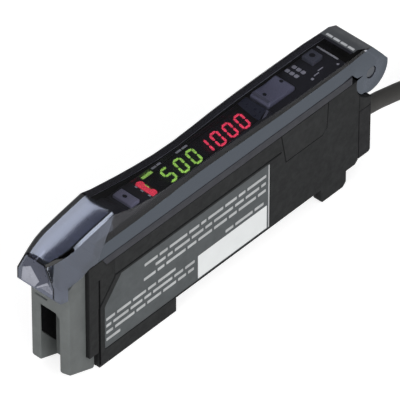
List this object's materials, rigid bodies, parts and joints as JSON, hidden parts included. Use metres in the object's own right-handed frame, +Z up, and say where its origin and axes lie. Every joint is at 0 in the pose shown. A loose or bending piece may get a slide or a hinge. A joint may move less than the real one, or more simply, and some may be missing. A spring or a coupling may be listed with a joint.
{
  "type": "laser sensor amplifier",
  "caption": "Slim rail-mounted amplifier for a laser sensor, with a smoked dust cover, two number displays, keys and a pre-wired cable.",
  "frame": {"origin": "centre of the housing's bounding box in plan, on the surface that its feet stand on", "axes": "+X along the housing from the sensor socket to the cable, +Y to the side without the label, +Z up from the rail"},
  "size_m": [0.1817, 0.0313, 0.0303],
  "materials": {
    "case_black": "fine sparked black moulding",
    "plate_black": "fine sparked black moulding, a little lighter than the case",
    "label_grey": "printed grey film with a blank white box",
    "socket_grey": "grey moulding",
    "contact_gold": "gold plated",
    "panel_black": "satin black moulding",
    "window_dark": "clear dark filter",
    "display_black": "matt black",
    "led_green": "lit segments",
    "led_red": "lit segments",
    "key_grey": "satin dark grey",
    "pin_steel": "ground",
    "board_green": "solder mask",
    "switch_metal": "plated",
    "chip_black": "moulded",
    "cover_smoke": "clear smoked",
    "bushing_black": "matt",
    "cable_sheath": "matt dark grey",
    "tie_white": "natural"
  },
  "bodies": {
    "case": {"main_case": "case_black", "side_plate": "plate_black", "label": "label_grey", "front_socket": "socket_grey", "contact_blades": "contact_gold", "contact_carrier": "display_black", "top_panel": "panel_black", "display_window": "window_dark", "display_module": "display_black", "green_digits": "led_green", "red_digits": "led_red", "red_lamp": "led_red", "green_lamp": "led_green", "rocker_pin": "pin_steel", "display_board": "board_green", "tact_switches": "switch_metal", "main_board": "board_green", "board_chips": "chip_black", "board_header": "chip_black", "expansion_socket": "chip_black", "cable_bushing": "bushing_black", "cable": "cable_sheath", "cable_coil": "cable_sheath", "cable_end": "cable_sheath", "cable_tie": "tie_white"},
    "cover": {"dust_cover": "cover_smoke"},
    "set_key": {"set_button": "key_grey"},
    "rocker": {"rocker_key": "key_grey"},
    "mode_key": {"mode_button": "key_grey"},
    "port_cap": {"expansion_cap": "case_black"}
  },
  "joints": [
    {"name": "cover_hinge", "type": "hinge", "parent": "case", "child": "cover", "pos_m": [0.0362, 0, 0.0205], "axis": [0, 1, 0], "range_deg": [0, 95]},
    {"name": "set_press", "type": "slide", "parent": "case", "child": "set_key", "axis": [0, 0, -1], "range_m": [0, 0.0003], "stiffness_N_per_m": 200},
    {"name": "rocker_tilt", "type": "hinge", "parent": "case", "child": "rocker", "pos_m": [0.01715, 0.0008, 0.0236], "axis": [0, 1, 0], "range_deg": [-3, 3], "stiffness_Nm_per_rad": 0.01},
    {"name": "mode_press", "type": "slide", "parent": "case", "child": "mode_key", "axis": [0, 0, -1], "range_m": [0, 0.0003], "stiffness_N_per_m": 200},
    {"name": "cap_pull", "type": "slide", "parent": "case", "child": "port_cap", "axis": [0, -1, 0], "range_m": [0, 0.006]}
  ]
}
